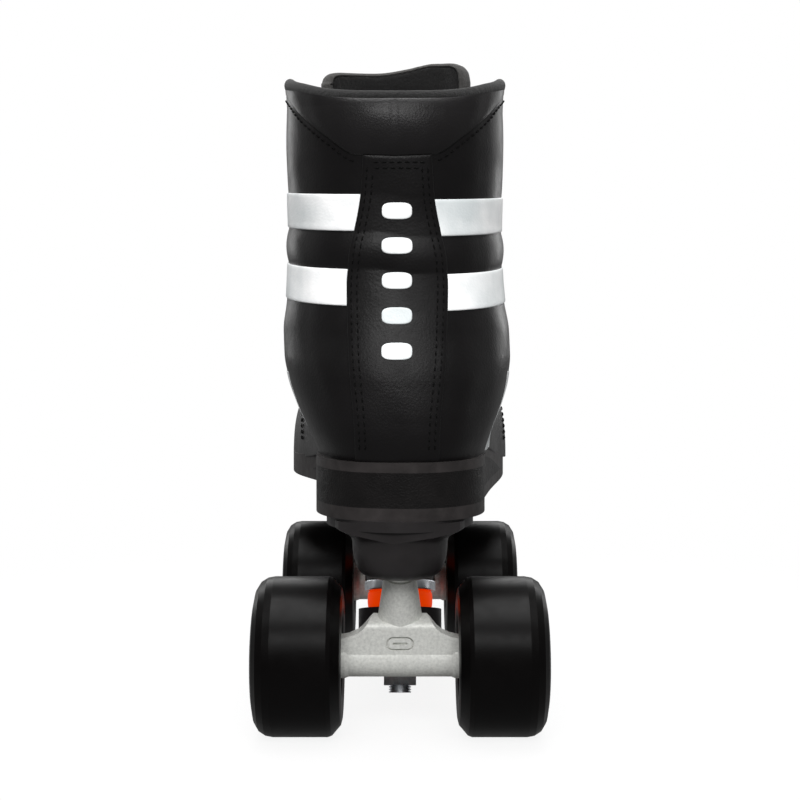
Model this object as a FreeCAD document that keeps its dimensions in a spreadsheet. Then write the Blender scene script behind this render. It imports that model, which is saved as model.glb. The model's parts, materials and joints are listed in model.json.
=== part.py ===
"""Quad roller skate, right foot, size EU 41-42: boot, plate, two trucks, four wheels, toe stop.

Frame: origin on the floor under the middle of the skate, +Z up, +Y toward the toe,
+X to the right (the outer side of this right-foot skate). Millimetres.
"""
import FreeCAD, Part
import math
import os
import re
import Sketcher
from FreeCAD import Placement, Rotation, Vector

DIMS = {
    # wheels, their bearings and the axle stack, measured outward from the skate's middle plane
    "wheel_radius": 31.0, "wheel_inner": 22.6, "wheel_outer": 57.5, "lip_bevel": 4.5, "lip_round": 8.0,
    "rim_radius": 24.5, "hub_radius": 19.0, "hub_web_radius": 12.5, "hub_in": 26.9, "hub_out": 51.8,
    "axle_radius": 4.0, "axle_half": 59.0, "bore_radius": 4.03,
    "bearing_radius": 11.0, "race_out_in": 9.2, "race_in_out": 6.3, "seal_in": 6.36,
    "bearing_one": 27.35, "bearing_two": 44.35, "bearing_width": 7.0, "seal_depth": 0.6,
    "washer_radius": 6.0, "washer_width": 0.8, "nut_flats": 13.0, "nut_width": 6.5,
    # trucks
    "rear_axle": -113.0, "front_axle": 47.0, "axle_height": 31.0,
    "tube_radius": 8.0, "flange_radius": 8.6, "flange_in": 20.2, "tube_half": 26.5,
    "yoke_offset": 22.0, "yoke_height": 38.1, "kingpin_tilt": 15.0,
    "yoke_radius": 15.0, "yoke_bore": 8.0, "yoke_half": 6.9,
    "seat_radius": 17.0, "seat_in": 15.05, "seat_low": 4.0, "seat_cap": 1.5, "seat_bore": 7.0,
    "kingpin_radius": 4.5, "kingpin_top": 40.0, "kingpin_end": 26.4,
    "upper_top": 14.2, "upper_cushion_radius": 13.3, "lower_top": 16.5, "lower_cushion_radius": 10.2,
    "cushion_bore": 4.8, "retainer_radius": 14.6, "retainer_height": 3.9, "lower_retainer_radius": 10.0,
    "lower_retainer_height": 2.0, "kingpin_nut_flats": 13.0, "kingpin_nut_height": 5.0,
    "web_low": 33.3, "web_face": 7.6, "web_lean": 0.2,
    "pivot_offset": 13.0, "pivot_height": 69.0, "arm_foot_offset": -2.5, "arm_foot_height": 39.5,
    "arm_radius": 9.8, "arm_tip_radius": 6.2,
    "ball_radius": 7.0, "cup_radius": 10.0, "cup_bore": 7.06, "housing_radius": 12.6,
    # plate
    "plate_top": 88.3, "plate_thick": 4.0, "plate_heel": -141.5, "plate_toe": 112.0,
    "plate_heel_half": 26.5, "plate_waist_half": 20.0, "plate_ball_half": 28.0,
    "rail_half": 17.0, "rail_thick": 4.0, "rail_low": 72.0,
    # mounting bolts and toe stop
    "bolt_radius": 3.0, "bolt_head_radius": 6.0, "bolt_head_height": 3.0,
    "stop_y": 104.0, "stop_radius": 23.0, "stop_low": 26.0, "stop_height": 26.0,
    "stem_radius": 7.9, "stem_top": 80.0, "boss_radius": 15.0, "boss_bore": 7.95, "boss_low": 66.0,
    "jam_flats": 24.0, "jam_height": 7.0,
    # sole stack
    "outsole_top": 93.2, "wedge_top": 106.4, "midsole_top": 110.4, "forefoot_top": 98.0, "insole_thick": 3.5,
    # boot layers, as depth under the leather's outer face
    "leather": 2.4, "lining_depth": 4.2, "overlay": 1.5, "trim": 0.7, "tongue_depth": 7.5,
    "throat_half": 15.0, "tongue_half": 33.0, "collar_back": 248.8, "collar_side": 260.5, "tongue_top": 276.0,
    "eyelet_radius": 4.2, "eyelet_bore": 2.2, "lace_width": 8.0, "lace_thick": 1.4,
}

doc = FreeCAD.newDocument("quad_roller_skate")
sheet = doc.addObject("Spreadsheet::Sheet", "dims")
for row, (alias, number) in enumerate(DIMS.items(), start=1):
    sheet.set("A%d" % row, alias)
    sheet.set("B%d" % row, str(number))
    sheet.setAlias("B%d" % row, alias)
doc.recompute()

NODES = []


def size(text):
    """Value of a sum of sheet aliases and numbers, such as 'hub_out - hub_in'."""
    total = 0.0
    for sign, term in re.findall(r"([+-]?)\s*([\w.]+)", text):
        number = float(term) if term[0].isdigit() else float(sheet.get(term))
        total += -number if sign == "-" else number
    return total


def bind(obj, prop, text):
    """Tie a property to the sheet."""
    obj.setExpression(prop, re.sub(r"\b[a-z_]\w*", lambda m: "dims." + m.group(), text))


def keep(obj, label):
    """Register an object as one sub-part under its own name."""
    obj.Label = label
    NODES.append(obj)
    return obj


def feature(label, shape):
    """Sub-part with a free-form shape."""
    obj = doc.addObject("Part::Feature", label)
    obj.Shape = shape
    obj.Placement = shape.Placement
    return keep(obj, label)


# ---------------------------------------------------------------- turned parts
def revolve(label, profile, placement):
    """PartDesign body turned about X; profile lists (distance along X, radius) as sheet sums."""
    body = doc.addObject("PartDesign::Body", label)
    sketch = body.newObject("Sketcher::SketchObject", label + "_profile")
    plane = [o for o in body.Origin.OriginFeatures if o.Role == "XY_Plane"][0]
    sketch.AttachmentSupport = [(plane, "")]
    sketch.MapMode = "FlatFace"
    points = [Vector(size(a), size(b), 0) for a, b in profile]
    count = len(points)
    for i in range(count):
        sketch.addGeometry(Part.LineSegment(points[i], points[(i + 1) % count]))
    for i in range(count):
        sketch.addConstraint(Sketcher.Constraint("Coincident", i, 2, (i + 1) % count, 1))
    for i, (along, radius) in enumerate(profile):
        for kind, text, value in (("DistanceX", along, points[i].x), ("DistanceY", radius, points[i].y)):
            if value == 0:
                axis = -2 if kind == "DistanceX" else -1
                sketch.addConstraint(Sketcher.Constraint("PointOnObject", i, 1, axis))
                continue
            index = sketch.addConstraint(Sketcher.Constraint(kind, -1, 1, i, 1, value))
            bind(sketch, "Constraints[%d]" % index, text)
    turned = body.newObject("PartDesign::Revolution", label + "_turned")
    turned.Profile = sketch
    turned.ReferenceAxis = (sketch, ["H_Axis"])
    turned.Angle = 360.0
    doc.recompute()
    body.Placement = placement
    return body


def ring_profile(start, end, inner, outer):
    return [(start, inner), (end, inner), (end, outer), (start, outer)]


def compound(label, bodies):
    """One sub-part of several separate identical pieces."""
    group = doc.addObject("Part::Compound", label)
    group.Links = bodies
    return keep(group, label)


def side_placement(side, axle_y):
    """Right (+1) or left (-1) end of an axle; the left one is turned half round about Z."""
    turn = Rotation(Vector(0, 0, 1), 0 if side > 0 else 180)
    return Placement(Vector(0, axle_y, size("axle_height")), turn)


def hexagon(label, flats, height, bore, placement):
    """Hex nut along Z: prism and bore bound to the sheet."""
    prism = doc.addObject("Part::Prism", label + "_hex")
    prism.Polygon = 6
    prism.setExpression("Circumradius", "dims.%s / 1.7320508" % flats)
    bind(prism, "Height", height)
    hole = doc.addObject("Part::Cylinder", label + "_hole")
    bind(hole, "Radius", bore)
    bind(hole, "Height", height)
    nut = doc.addObject("Part::Cut", label)
    nut.Base, nut.Tool = prism, hole
    nut.Placement = placement
    return nut


def cylinder(name, radius, height, placement):
    made = doc.addObject("Part::Cylinder", name)
    bind(made, "Radius", radius)
    bind(made, "Height", height)
    made.Placement = placement
    return made


def build_wheel(corner, side, axle_y):
    place = side_placement(side, axle_y)
    tyre = [("wheel_inner", "hub_radius"), ("wheel_outer", "hub_radius + 2"), ("wheel_outer", "rim_radius - 2.5"),
            ("wheel_outer - 0.8", "wheel_radius - 5"), ("wheel_outer - 2.6", "wheel_radius - 2.1"),
            ("wheel_outer - 5.2", "wheel_radius - 0.5"), ("wheel_outer - lip_round", "wheel_radius"),
            ("wheel_inner + lip_bevel + 1", "wheel_radius"),
            ("wheel_inner + lip_bevel - 0.6", "wheel_radius - 0.6"),
            ("wheel_inner + 0.5", "wheel_radius - lip_bevel"), ("wheel_inner", "rim_radius")]
    keep(revolve("tyre_" + corner, tyre, place), "tyre_" + corner)
    seat = "bearing_radius + 0.01"
    hub = [("bearing_one", seat), ("bearing_one + bearing_width", seat),
           ("bearing_one + bearing_width", "bearing_radius - 1.6"), ("bearing_two", "bearing_radius - 1.6"),
           ("bearing_two", seat), ("bearing_two + bearing_width", seat),
           ("hub_out", "hub_web_radius + 0.6"), ("hub_out - 2", "hub_radius - 2.5"),
           ("wheel_outer - 1", "hub_radius - 1"), ("wheel_outer", "hub_radius + 2"),
           ("wheel_inner", "hub_radius"), ("wheel_inner + 0.6", "hub_radius - 2"),
           ("hub_in + 2", "hub_radius - 2.5"), ("hub_in", "hub_web_radius + 0.6")]
    keep(revolve("hub_" + corner, hub, place), "hub_" + corner)
    races, seals = [], []
    for tag, start in (("_in", "bearing_one"), ("_out", "bearing_two")):
        end = start + " + bearing_width"
        race = ring_profile(start, end, "race_out_in", "bearing_radius")
        races.append(revolve("outer_race_" + corner + tag, race, place))
        first = ring_profile(start, start + " + seal_depth", "seal_in", "race_out_in")
        last = ring_profile(end + " - seal_depth", end, "seal_in", "race_out_in")
        seals.append(revolve("seal_a_" + corner + tag, first, place))
        seals.append(revolve("seal_b_" + corner + tag, last, place))
    compound("outer_races_" + corner, races)
    compound("bearing_seals_" + corner, seals)


def build_axle(end, axle_y):
    place = side_placement(1, axle_y)
    along = Placement(Vector(-size("axle_half"), axle_y, size("axle_height")), Rotation(Vector(0, 1, 0), 90))
    axle = cylinder("axle_" + end, "axle_radius", "axle_half + axle_half", along)
    keep(axle, "axle_" + end)
    races, washers, spacers, nuts = [], [], [], []
    for side in (1, -1):
        place = side_placement(side, axle_y)
        tag = "%s_%s" % (end, "r" if side > 0 else "l")
        for number, start in enumerate(("bearing_one", "bearing_two")):
            profile = ring_profile(start, start + " + bearing_width", "bore_radius", "race_in_out")
            races.append(revolve("inner_race_%s%d" % (tag, number), profile, place))
        gap = ring_profile("bearing_one + bearing_width", "bearing_two", "bore_radius", "washer_radius - 0.4")
        spacers.append(revolve("spacer_" + tag, gap, place))
        outer_end = "bearing_two + bearing_width"
        for number, (a, b) in enumerate((("bearing_one - washer_width", "bearing_one"),
                                         (outer_end, outer_end + " + washer_width"))):
            washers.append(revolve("washer_%s%d" % (tag, number),
                                   ring_profile(a, b, "bore_radius", "washer_radius"), place))
        nut_x = side * size("bearing_two + bearing_width + washer_width")
        turn = Rotation(Vector(0, 1, 0), 90 * side)
        spot = Placement(Vector(nut_x, axle_y, size("axle_height")), turn)
        nuts.append(hexagon("nut_" + tag, "nut_flats", "nut_width", "bore_radius", spot))
    compound("inner_races_" + end, races)
    compound("bearing_spacers_" + end, spacers)
    compound("speed_washers_" + end, washers)
    compound("axle_nuts_" + end, nuts)


# ---------------------------------------------------------------- trucks
def truck_frame(end):
    """Truck-local frame: +Y outward from the axle toward the near end of the skate, turned for each end."""
    if end == "rear":
        return Placement(Vector(0, size("rear_axle"), 0), Rotation(Vector(0, 0, 1), 180))
    return Placement(Vector(0, size("front_axle"), 0), Rotation())


def king_axis():
    """Base point and direction of the kingpin in the truck frame; it leans inboard going up."""
    tilt = math.radians(size("kingpin_tilt"))
    return Vector(0, -size("yoke_offset"), size("yoke_height")), Vector(0, -math.sin(tilt), math.cos(tilt))


def on_king(level):
    """Placement on the kingpin at a signed distance from the yoke's centre."""
    base, along = king_axis()
    return Placement(base + along * level, Rotation(Vector(0, 0, 1), along))


def disc(radius, low, high):
    """Cylinder on the kingpin axis between two levels."""
    solid = Part.makeCylinder(radius, high - low)
    solid.Placement = on_king(low)
    return solid


def pivot_point():
    return Vector(0, size("pivot_offset"), size("pivot_height"))


def cone_between(start, end, radius_a, radius_b):
    if radius_a == radius_b:
        return Part.makeCylinder(radius_a, (end - start).Length, start, end - start)
    return Part.makeCone(radius_a, radius_b, (end - start).Length, start, end - start)


WEB_OUTLINE = [(24, 39.5), (19.9, 40.3), (16.3, 41.9), (14.4, 43.4), (11.9, 46.5), (9, 49.6), (7.4, 52.4)]


def web_shape():
    """Flared web between the axle tube and the arm, its outer face leaning outboard going up."""
    low, face, lean = size("web_low"), size("web_face"), size("web_lean")
    right = [(24, low)] + WEB_OUTLINE
    corners = [Vector(x, 0, z) for x, z in right] + [Vector(-x, 0, z) for x, z in reversed(right)]
    web = Part.Face(Part.makePolygon(corners + corners[:1])).extrude(Vector(0, 14, 0))
    slab = [(face, low - 1), (face + lean * 26, low + 25), (30, low + 25), (30, low - 1)]
    shoulder = [(-1, 48.2), (12, 44.8), (12, 70), (-1, 70)]
    web = web.cut(polygon_side(slab)).cut(polygon_side(shoulder))
    brow = [e for e in web.Edges if e.BoundBox.YMin > 9 and e.BoundBox.XLength > 20 and e.BoundBox.ZMin > 44]
    return web.makeFillet(2.0, brow)


def arm_shape(gap):
    """Arm from the web to the pivot ball, thickened all round by a gap."""
    foot = Vector(0, size("arm_foot_offset"), size("arm_foot_height"))
    tip = foot + (pivot_point() - foot) * 0.86
    return cone_between(foot, tip, size("arm_radius") + gap, size("arm_tip_radius") + gap)


def hanger_shape():
    height, half = size("axle_height"), size("tube_half")
    along = Vector(1, 0, 0)
    tube = Part.makeCylinder(size("tube_radius"), 2 * half, Vector(-half, 0, height), along)
    pieces = []
    for side in (1, -1):
        start = Vector(side * size("flange_in"), 0, height)
        pieces.append(cone_between(start, Vector(side * (size("flange_in") + 1.5), 0, height),
                                   size("tube_radius"), size("flange_radius")))
        pieces.append(cone_between(Vector(side * (size("flange_in") + 1.5), 0, height),
                                   Vector(side * half, 0, height), size("flange_radius"), size("flange_radius")))
    web, arm = web_shape(), arm_shape(0)
    ball = Part.makeSphere(size("ball_radius"), pivot_point())
    low, top = -size("yoke_half"), size("yoke_half - seat_cap")
    ring = disc(size("yoke_radius"), low, top)
    bridge = Part.makeBox(24, size("yoke_offset"), size("yoke_half - seat_low") - 0.2, Vector(-12, 0, low))
    bridge.Placement = on_king(0)
    solid = tube.multiFuse(pieces + [web, arm, ball, ring, bridge]).removeSplitter()
    solid = solid.cut(disc(size("yoke_bore"), low - 1, top + 1))
    solid = solid.cut(Part.makeCylinder(size("axle_radius"), 2 * half + 2, Vector(-half - 1, 0, height), along))
    return solid.cut(oval_groove())


def slot(radius, reach):
    """Round-ended bar along X, 6 mm deep."""
    bar = Part.makeBox(2 * reach, 2 * radius, 6, Vector(-reach, -radius, 0))
    return bar.fuse([Part.makeCylinder(radius, 6, Vector(x, 0, 0)) for x in (-reach, reach)])


def oval_groove():
    """Plain oval groove with a bar in it, pressed into the web's outer face."""
    groove = slot(2.8, 2.7).cut(slot(2.1, 2.7)).fuse(slot(0.5, 2.4))
    lean = size("web_lean")
    groove.Placement = Placement(Vector(0, size("web_face"), 37.8), Rotation(Vector(0, 0, 1), Vector(0, 1, -lean)))
    return groove


def seat_shape():
    """Hard black cushion cap that sleeves over the yoke."""
    top = size("yoke_half")
    body = disc(size("seat_radius"), -size("seat_low"), top)
    body = body.cut(disc(size("seat_in"), -size("seat_low") - 1, top - size("seat_cap")))
    body = body.cut(disc(size("seat_bore"), 0, top + 1))
    return body.cut(Part.makeBox(60, 40, 40, Vector(-30, -5.4, 20))).cut(arm_shape(0.4))


def cup_shape():
    """Pivot cup: a rubber thimble round the ball."""
    centre = pivot_point()
    outer = Part.makeCylinder(size("cup_radius"), 10.5, centre + Vector(0, 0, -0.5), Vector(0, 0, 1))
    return outer.cut(Part.makeSphere(size("cup_bore"), centre))


def cushion(radius, waist, low, high):
    """Barrel cushion with a bore for the kingpin."""
    bore, end = size("cushion_bore"), radius - waist
    arc = Part.Arc(Vector(end, 0, low), Vector(radius, 0, (low + high) / 2), Vector(end, 0, high))
    edges = [Part.makeLine(Vector(bore, 0, low), Vector(end, 0, low)), arc.toShape(),
             Part.makeLine(Vector(end, 0, high), Vector(bore, 0, high)),
             Part.makeLine(Vector(bore, 0, high), Vector(bore, 0, low))]
    solid = Part.Face(Part.Wire(edges)).revolve(Vector(0, 0, 0), Vector(0, 0, 1), 360)
    solid.Placement = on_king(0)
    return solid


def retainer(radius, low, high, hollow):
    """Pressed steel washer, cupped on the cushion's side."""
    solid = disc(radius, low, high)
    solid = solid.cut(disc(size("kingpin_radius") + 0.05, low - 1, high + 1))
    edge = [e for e in solid.Edges if abs(e.Length - 2 * math.pi * radius) < 0.01]
    return solid.makeFillet(min(hollow, (high - low) * 0.45), edge)


def placed(shape, end):
    copy = shape.copy()
    copy.Placement = truck_frame(end).multiply(copy.Placement)
    return copy


def build_trucks():
    hanger, seat = hanger_shape(), seat_shape()
    half, upper, lower = size("yoke_half"), size("upper_top"), size("lower_top")
    top_cushion = cushion(size("upper_cushion_radius"), 0.25, half + 0.02, upper - 0.02)
    low_cushion = cushion(size("lower_cushion_radius"), 0.8, -lower + 0.02, -half - 0.02)
    for end in ("rear", "front"):
        feature("hanger_" + end, placed(hanger, end))
        feature("cushion_seat_" + end, placed(seat, end))
        feature("upper_cushion_" + end, placed(top_cushion, end))
        feature("lower_cushion_" + end, placed(low_cushion, end))
    top_cup = retainer(size("retainer_radius"), upper, upper + size("retainer_height"), 0.5)
    low_cup = retainer(size("lower_retainer_radius"), -lower - size("lower_retainer_height"), -lower, 0.8)
    pin = disc(size("kingpin_radius"), -size("kingpin_end"), size("kingpin_top"))
    for turn_number in range(3):
        low = 0.5 + turn_number - size("kingpin_end")
        pin = pin.cut(disc(size("kingpin_radius") + 1, low, low + 0.5).cut(disc(size("kingpin_radius") - 0.5, low, low + 0.5)))
    nut_top = -lower - size("lower_retainer_height")
    both = ("rear", "front")
    turn = Placement(Vector(), Rotation(Vector(0, 0, 1), 30))
    feature("upper_retainers", Part.makeCompound([placed(top_cup, e) for e in both]))
    feature("lower_retainers", Part.makeCompound([placed(low_cup, e) for e in both]))
    feature("kingpins", Part.makeCompound([placed(pin, e) for e in both]))
    feature("pivot_cups", Part.makeCompound([placed(cup_shape(), e) for e in both]))
    nuts = [hexagon("kingpin_nut_" + e, "kingpin_nut_flats", "kingpin_nut_height", "kingpin_radius",
                    truck_frame(e).multiply(on_king(nut_top - size("kingpin_nut_height"))).multiply(turn))
            for e in both]
    compound("kingpin_nuts", nuts)


# ---------------------------------------------------------------- plate, bolts and toe stop
def plate_outline():
    heel, ball, waist = size("plate_heel_half"), size("plate_ball_half"), size("plate_waist_half")
    back, front = size("plate_heel"), size("plate_toe")
    right = [(heel * 0.6, back), (heel, back + 14), (heel, -92), (waist, -52), (waist, -10), (ball, 34),
             (ball, 80), (ball * 0.68, front)]
    points = [Vector(x, y, 0) for x, y in right] + [Vector(-x, y, 0) for x, y in reversed(right)]
    curve = Part.BSplineCurve()
    curve.interpolate(Points=points, PeriodicFlag=True)
    return Part.Face(Part.Wire([curve.toShape()]))


def bolt_spots():
    return [(19, -102), (-19, -102), (8, -45), (-8, -45), (19, 33), (-19, 33)]


HOUSING = [(9.5, 64.6), (12, 65), (14.4, 66), (16.2, 67.8), (17, 69.6), (17.7, 72), (18.3, 75.5), (19.1, 80.4),
           (21.5, 82), (25.4, 84.4)]


def pivot_housing():
    """Turned boss under the deck that holds the pivot cup."""
    curve = Part.BSplineCurve()
    curve.interpolate(Points=[Vector(radius, 0, z) for radius, z in HOUSING])
    top = size("plate_top") - 1
    first, last = HOUSING[0], HOUSING[-1]
    corners = [Vector(last[0], 0, last[1]), Vector(last[0], 0, top), Vector(0, 0, top), Vector(0, 0, first[1]),
               Vector(first[0], 0, first[1])]
    wire = Part.Wire([curve.toShape()] + Part.makePolygon(corners).Edges)
    turned = Part.Face(wire).revolve(Vector(0, 0, 0), Vector(0, 0, 1), 360)
    turned.translate(Vector(0, size("pivot_offset"), 0))
    return turned


def build_plate():
    top, thick = size("plate_top"), size("plate_thick")
    deck = plate_outline().extrude(Vector(0, 0, thick))
    deck.translate(Vector(0, 0, top - thick))
    pieces = []
    low = size("rail_low")
    for side in (1, -1):
        x = side * size("rail_half") - size("rail_thick") / 2
        corners = [(-96, top - 2), (-84, low), (18, low), (30, top - 2)]
        wire = Part.makePolygon([Vector(x, y, z) for y, z in corners + corners[:1]])
        pieces.append(Part.Face(wire).extrude(Vector(size("rail_thick"), 0, 0)))
    for cross in (-76, -33, 10):
        pieces.append(Part.makeBox(2 * size("rail_half"), 3.5, top - low - 6,
                                   Vector(-size("rail_half"), cross, low + 4)))
    low_boss = size("upper_top + retainer_height")
    for end in ("rear", "front"):
        base, along = king_axis()
        reach = (top - 1 - base.z) / along.z - 2.0
        pieces.append(placed(cone_between(base + along * low_boss, base + along * reach, 13.6, 17.5), end))
        pieces.append(placed(pivot_housing(), end).common(sole_prism(60, 40)))
    boss = Part.makeCylinder(size("boss_radius"), top - 1 - size("boss_low"),
                             Vector(0, size("stop_y"), size("boss_low")))
    solid = deck.multiFuse(pieces + [boss])
    trim = Part.makeBox(200, 400, 50, Vector(-100, -200, top))
    solid = solid.cut(trim)
    for end in ("rear", "front"):
        centre = pivot_point()
        solid = solid.cut(placed(Part.makeCylinder(size("cup_radius"), 10.5, centre + Vector(0, 0, -0.5)), end))
        solid = solid.cut(placed(cone_between(centre + Vector(0, 0, -8), centre + Vector(0, 0, -0.49),
                                              size("housing_radius"), size("cup_radius")), end))
        solid = solid.cut(placed(disc(size("kingpin_radius"), low_boss - 1, size("kingpin_top")), end))
    solid = solid.cut(Part.makeCylinder(size("boss_bore"), 60, Vector(0, size("stop_y"), size("boss_low") - 1)))
    for x, y in bolt_spots():
        solid = solid.cut(Part.makeCylinder(size("bolt_radius"), 30, Vector(x, y, top - 25)))
        pocket = Vector(x, y, top - thick - size("bolt_head_height") - 1)
        solid = solid.cut(Part.makeCylinder(size("bolt_head_radius") + 0.3, size("bolt_head_height") + 1, pocket))
    feature("plate", solid.removeSplitter())


def build_bolts():
    bolts = []
    under = size("plate_top - plate_thick")
    for number, (x, y) in enumerate(bolt_spots()):
        shank = Part.makeCylinder(size("bolt_radius"), size("plate_thick") + 3, Vector(x, y, under))
        head = Part.makeCylinder(size("bolt_head_radius"), size("bolt_head_height"),
                                 Vector(x, y, under - size("bolt_head_height")))
        head = head.makeFillet(1.2, [head.Edges[2]])
        socket = Part.makeCylinder(2.3, 2.0, Vector(x, y, under - size("bolt_head_height")))
        bolts.append(shank.fuse(head).cut(socket))
    feature("mounting_bolts", Part.makeCompound(bolts))


def build_toe_stop():
    y, low, high = size("stop_y"), size("stop_low"), size("stop_low + stop_height")
    radius = size("stop_radius")
    pad = cone_between(Vector(0, y, low + 5), Vector(0, y, high), radius, 15.0)
    foot = cone_between(Vector(0, y, low), Vector(0, y, low + 5), radius - 2.5, radius)
    pad = pad.fuse(foot).removeSplitter()
    pad = pad.cut(Part.makeCylinder(size("stem_radius"), 12, Vector(0, y, high - 12)))
    feature("toe_stop_pad", pad)
    stem = Part.makeCylinder(size("stem_radius"), size("stem_top") - high + 12, Vector(0, y, high - 12))
    feature("toe_stop_stem", stem)
    nut = hexagon("toe_stop_jam_nut", "jam_flats", "jam_height", "boss_bore",
                  Placement(Vector(0, y, size("boss_low - jam_height")), Rotation()))
    keep(nut, "toe_stop_jam_nut")


# ---------------------------------------------------------------- sole and boot surfaces
def smooth_curve(points, t):
    """Monotone cubic through hand-set (t, value) pairs."""
    if t <= points[0][0]:
        return points[0][1]
    if t >= points[-1][0]:
        return points[-1][1]
    last = len(points) - 1
    rise = [(points[i + 1][1] - points[i][1]) / (points[i + 1][0] - points[i][0]) for i in range(last)]
    slope = [rise[0]]
    for before, after in zip(rise, rise[1:]):
        slope.append(0 if before * after <= 0 else 2 * before * after / (before + after))
    slope.append(rise[-1])
    i = max(k for k in range(last) if points[k][0] <= t)
    (t0, v0), (t1, v1) = points[i], points[i + 1]
    span, s = t1 - t0, (t - t0) / (t1 - t0)
    return ((1 + 2 * s) * (1 - s) ** 2 * v0 + s * (1 - s) ** 2 * span * slope[i]
            + s * s * (3 - 2 * s) * v1 - s * s * (1 - s) * span * slope[i + 1])


SOLE_OUTLINE = [(0, -145), (17, -141.5), (29, -129), (33.5, -112), (34, -92), (37, -62), (41, -35), (47, 0),
                (51, 38), (48.5, 72), (37, 105), (15, 134), (-12, 145), (-35, 131), (-50, 98), (-54, 60),
                (-48.5, 20), (-36, -12), (-31, -38), (-31.5, -72), (-33, -95), (-33, -113), (-28, -129.5),
                (-16, -141.5)]
HEEL = [(90, -139), (108, -141.5), (122, -143.5), (140, -141.5), (160, -136), (185, -131), (210, -129.5),
        (235, -130.5), (285, -133)]
INSTEP = [(-48, 300), (-40, 250), (-35, 222), (-26, 202), (-12, 186), (8, 172), (32, 160), (58, 150),
          (84, 142), (106, 136), (124, 129), (135, 121), (141, 111), (143, 102), (143.1, 80)]
ANKLE_HALF = [(90, 30), (108, 33.2), (120, 37.6), (130, 41.8), (140, 44.8), (150, 46.1), (160, 46.0),
              (171, 44.8), (191, 43.9), (236, 44.0), (285, 46.0)]
HEEL_REACH = [(90, 66), (130, 66), (150, 58), (168, 52), (290, 52)]
HEEL_POWER = [(90, 3.0), (115, 2.8), (140, 2.45), (165, 2.3), (290, 2.3)]
LATERAL = [(-110, 0), (-84, 33), (-60, 38), (-35, 41.5), (-10, 45), (40, 52.5), (80, 51.5), (143, 50)]
MEDIAL = [(-110, 0), (-84, 30), (-60, 32), (-38, 32.5), (-10, 39), (30, 50), (62, 54.5), (100, 54), (143, 54)]
RIDGE = [(-40, -2.1), (20, -3), (80, -8), (143, -10)]
ANKLE_CENTRE = [(105, 0.8), (190, -2.1), (290, -2.1)]
LEVELS = [88, 96, 105, 114, 122, 129, 134, 138, 141, 144, 148, 153, 160, 168, 178, 190, 205, 222, 240, 262, 290]
TOE_Y = 143.1


def roof(y, depth):
    return smooth_curve(INSTEP, y + 0.85 * depth) - 0.85 * depth


def front_edge(z, depth):
    low, high = -60.0, TOE_Y
    for _ in range(40):
        middle = (low + high) / 2
        low, high = (middle, high) if roof(middle, depth) > z else (low, middle)
    return low


def soft_max(a, b):
    blend = 7.0
    share = max(blend - abs(a - b), 0) / blend
    return max(a, b) + share * share * blend / 4


def girth(side, y, z, depth):
    """Half widths of the ankle column and of the forefoot at one height."""
    back, front = smooth_curve(HEEL, z) + depth, front_edge(z, depth)
    reach = min((front - back) / 2, smooth_curve(HEEL_REACH, z) - depth)
    off, power = min(1, abs((y - back - reach) / reach)), smooth_curve(HEEL_POWER, z)
    ankle = (smooth_curve(ANKLE_HALF, z) - depth) * (1 - off ** power) ** (1 / power)
    tip = min(1, max(0, (y - 72) / (TOE_Y - depth - 72)))
    plan = (smooth_curve(LATERAL if side > 0 else MEDIAL, y) - depth) * (1 - tip ** 2.5) ** (1 / 2.1)
    rise = min(1, max(0, (z - 94) / (roof(y, depth) - 94)))
    ridge = smooth_curve(RIDGE, y)
    return ankle, (plan - side * ridge) * (1 - rise ** 2.6) ** (1 / 2.1), ridge


def boot_point(angle, z, depth):
    """Point on the boot's section at height z; angle runs heel, outer side, toe, inner side."""
    back, front = smooth_curve(HEEL, z) + depth, front_edge(z, depth)
    side = 1 if angle <= math.pi else -1
    y = (back + front) / 2 - (front - back) / 2 * math.cos(angle)
    ankle, forefoot, ridge = girth(side, y, z, depth)
    centre = smooth_curve(ANKLE_CENTRE, z)
    if forefoot <= 0.01 or y < -109:
        return Vector(centre + side * ankle, y, z)
    return Vector(side * soft_max(side * centre + ankle, side * ridge + forefoot), y, z)


def section(z, depth, count=14):
    points = []
    for step in range(2 * count):
        if step == 0:
            points.append(Vector(smooth_curve(ANKLE_CENTRE, z), smooth_curve(HEEL, z) + depth, z))
        elif step == count:
            edge = front_edge(z, depth)
            points.append(Vector(smooth_curve(RIDGE, edge), edge, z))
        else:
            points.append(boot_point(math.pi * step / count, z, depth))
    curve = Part.BSplineCurve()
    curve.interpolate(Points=points, PeriodicFlag=True)
    return Part.Wire([curve.toShape()])


def last_solid(depth):
    """The boot's closed volume at a depth under the leather's outer face."""
    return Part.makeLoft([section(z, depth) for z in LEVELS], True, True)


def sole_top(y):
    share = min(1, max(0, (y + 75) / 110.0))
    share = share * share * (3 - 2 * share)
    heel, fore = size("midsole_top"), size("forefoot_top")
    return heel - (heel - fore) * share + (5 * ((y - 80) / 65.0) ** 2 if y > 80 else 0)


def side_region(upper, lower, x_from=-90, x_to=90):
    """Prism across the boot between two lines drawn in side view, each a list of (y, z)."""
    def line(points):
        if len(points) == 2:
            return Part.makeLine(Vector(x_from, *points[0]), Vector(x_from, *points[1]))
        curve = Part.BSplineCurve()
        curve.interpolate(Points=[Vector(x_from, y, z) for y, z in points])
        return curve.toShape()
    edges = [line(upper), line(lower)]
    for start, end in ((upper[-1], lower[-1]), (upper[0], lower[0])):
        if start != end:
            edges.append(Part.makeLine(Vector(x_from, *start), Vector(x_from, *end)))
    face = Part.Face(Part.Wire(Part.sortEdges(edges)[0]))
    return face.extrude(Vector(x_to - x_from, 0, 0))


def plan_region(corners, low=60, high=320):
    wire = Part.makePolygon([Vector(x, y, low) for x, y in corners + corners[:1]])
    return Part.Face(wire).extrude(Vector(0, 0, high - low))


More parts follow.
